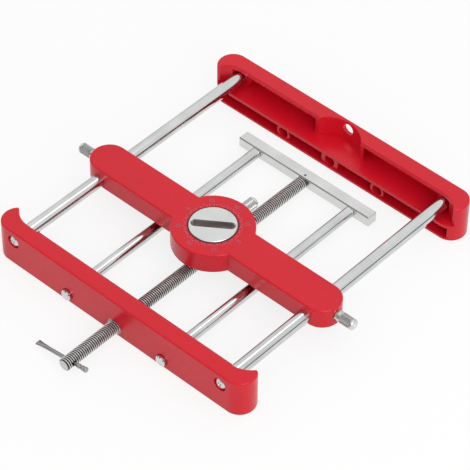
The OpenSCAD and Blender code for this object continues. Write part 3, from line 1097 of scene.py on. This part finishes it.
# Floor and light
studio = {
    "floorSize": 9.0,
    "floorCuts": 8,
    "floorPale": (0.95, 0.95, 0.95),
    "floorTone": (0.57, 0.57, 0.57),
    "floorGlow": 0.80,
    "skyPlain": 0.79,
    "skyTop": 0.98,
    "skyMiddle": 0.92,
    "horizonPale": 0.62,
    "horizonDark": 0.06,
    "horizonTurn": (0.85, -0.53, 0.0),
    "horizonSides": (-0.3, 0.3),
    "horizonFade": (0.10, 0.32),
    "skyFade": (0.30, 0.75),
    "flagSide": (-0.473, -0.708, 0.524),
    "flagEdge": (0.950, 0.985),
    "flagDepth": 0.80,
    "keyPower": 20.0,
    "keySize": (1.4, 1.4),
    "keyPlace": (1.9, -0.7, 1.2),
    "keyAim": (0, 0.03, 0.02),
    "topPower": 0.36,
    "topSize": (0.34, 0.30),
    "topPlace": (0.10, 0.39, 0.90),
    "topAim": (0.10, 0.38, 0),
}


def makeFloor(cfg):
    deselectAll()
    bpy.ops.mesh.primitive_plane_add(size=cfg["floorSize"], location=(0, 0, 0))
    floor = bpy.context.object
    floor.name = "studioFloor"
    enterEdit(floor)
    selectAll()
    bpy.ops.mesh.subdivide(number_cuts=cfg["floorCuts"])
    leaveEdit()
    material = bpy.data.materials.new("paleFloor")
    material.use_nodes = True
    nodes, links = material.node_tree.nodes, material.node_tree.links
    nodes.remove(nodes["Principled BSDF"])
    output = nodes["Material Output"]
    path = nodes.new("ShaderNodeLightPath")
    camera, glossy = path.outputs["Is Camera Ray"], path.outputs["Is Glossy Ray"]
    seen = mathNode(
        nodes, links, "MAXIMUM",
        mathNode(nodes, links, "MAXIMUM", camera, glossy), path.outputs["Is Transmission Ray"],
    )
    matt = nodes.new("ShaderNodeBsdfDiffuse")
    matt.inputs["Color"].default_value = (*cfg["floorTone"], 1)
    pale = nodes.new("ShaderNodeBsdfDiffuse")
    pale.inputs["Color"].default_value = (*cfg["floorPale"], 1)
    glow = nodes.new("ShaderNodeEmission")
    glow.inputs["Color"].default_value = (1, 1, 1, 1)
    glow.inputs["Strength"].default_value = 1.0
    blend = nodes.new("ShaderNodeMixShader")
    blend.inputs["Fac"].default_value = cfg["floorGlow"]
    links.new(pale.outputs["BSDF"], blend.inputs[1])
    links.new(glow.outputs["Emission"], blend.inputs[2])
    choose = nodes.new("ShaderNodeMixShader")
    links.new(seen, choose.inputs["Fac"])
    links.new(matt.outputs["BSDF"], choose.inputs[1])
    links.new(blend.outputs["Shader"], choose.inputs[2])
    links.new(choose.outputs["Shader"], output.inputs["Surface"])
    floor.data.materials.append(material)


def makeSky(cfg):
    # Even light for matt surfaces. Metal shows a pale sky over a darker horizon, which is
    # darkest to the right and in front, and one dark flag in front.
    world = bpy.data.worlds.new("softSky")
    bpy.context.scene.world = world
    world.use_nodes = True
    nodes, links = world.node_tree.nodes, world.node_tree.links
    direction = nodes.new("ShaderNodeTexCoord").outputs["Generated"]

    def along(vector):
        aim = nodes.new("ShaderNodeVectorMath")
        aim.operation = "DOT_PRODUCT"
        links.new(direction, aim.inputs[0])
        aim.inputs[1].default_value = vector
        return aim.outputs["Value"]

    height = along((0, 0, 1))
    horizon = smoothRange(
        nodes, links, along(cfg["horizonTurn"]), *cfg["horizonSides"],
        cfg["horizonPale"], cfg["horizonDark"],
    )
    upper = smoothRange(nodes, links, height, *cfg["skyFade"], cfg["skyMiddle"], cfg["skyTop"])
    sky = smoothRange(nodes, links, height, *cfg["horizonFade"], horizon, upper)
    flag = smoothRange(
        nodes, links, along(cfg["flagSide"]), *cfg["flagEdge"], 1.0, 1.0 - cfg["flagDepth"],
    )
    shiny = mathNode(nodes, links, "MULTIPLY", sky, flag)
    path = nodes.new("ShaderNodeLightPath")
    plain = mathNode(
        nodes, links, "MAXIMUM", path.outputs["Is Camera Ray"], cfg["skyPlain"],
    )
    mix = nodes.new("ShaderNodeMix")
    links.new(path.outputs["Is Glossy Ray"], mix.inputs["Factor"])
    links.new(plain, mix.inputs["A"])
    links.new(shiny, mix.inputs["B"])
    links.new(mix.outputs["Result"], nodes["Background"].inputs["Strength"])
    nodes["Background"].inputs["Color"].default_value = (1, 1, 1, 1)


def makeLamp(name, place, size, power, target):
    lamp = bpy.data.lights.new(name, "AREA")
    lamp.shape = "RECTANGLE"
    lamp.size, lamp.size_y = size
    lamp.energy = power
    light = bpy.data.objects.new(name, lamp)
    light.location = place
    aim = Vector(target) - light.location
    light.rotation_euler = aim.to_track_quat("-Z", "Y").to_euler()
    bpy.context.scene.collection.objects.link(light)


makeFloor(studio)
makeSky(studio)
makeLamp(
    "softBox", studio["keyPlace"], studio["keySize"], studio["keyPower"], studio["keyAim"]
)
makeLamp(
    "topBox", studio["topPlace"], studio["topSize"], studio["topPower"], studio["topAim"]
)
print("studio lit")


# Camera
photoView = {
    "azimuth": 42.012,
    "elevation": 45.093,
    "roll": 0.575,
    "place": (1.02975, -1.11619, 1.55039),
    "lens": 200.24,
    "sensor": 36.0,
    "clipEnd": 50,
}


def makeCamera(cfg):
    a, e, r = (math.radians(cfg[k]) for k in ("azimuth", "elevation", "roll"))
    back = Vector((math.sin(a) * math.cos(e), -math.cos(a) * math.cos(e), math.sin(e)))
    level = Vector((math.cos(a), math.sin(a), 0))
    rise = back.cross(level)
    right = math.cos(r) * level + math.sin(r) * rise
    up = -math.sin(r) * level + math.cos(r) * rise
    lens = bpy.data.cameras.new("photoCamera")
    lens.sensor_fit = "HORIZONTAL"
    lens.sensor_width = cfg["sensor"]
    lens.lens = cfg["lens"]
    lens.clip_end = cfg["clipEnd"]
    camera = bpy.data.objects.new("photoCamera", lens)
    bpy.context.scene.collection.objects.link(camera)
    turn = Matrix((right, up, back)).transposed().to_4x4()
    camera.matrix_world = Matrix.Translation(cfg["place"]) @ turn
    bpy.context.scene.camera = camera


makeCamera(photoView)
bpy.context.scene.view_settings.view_transform = "Standard"
print("camera set")
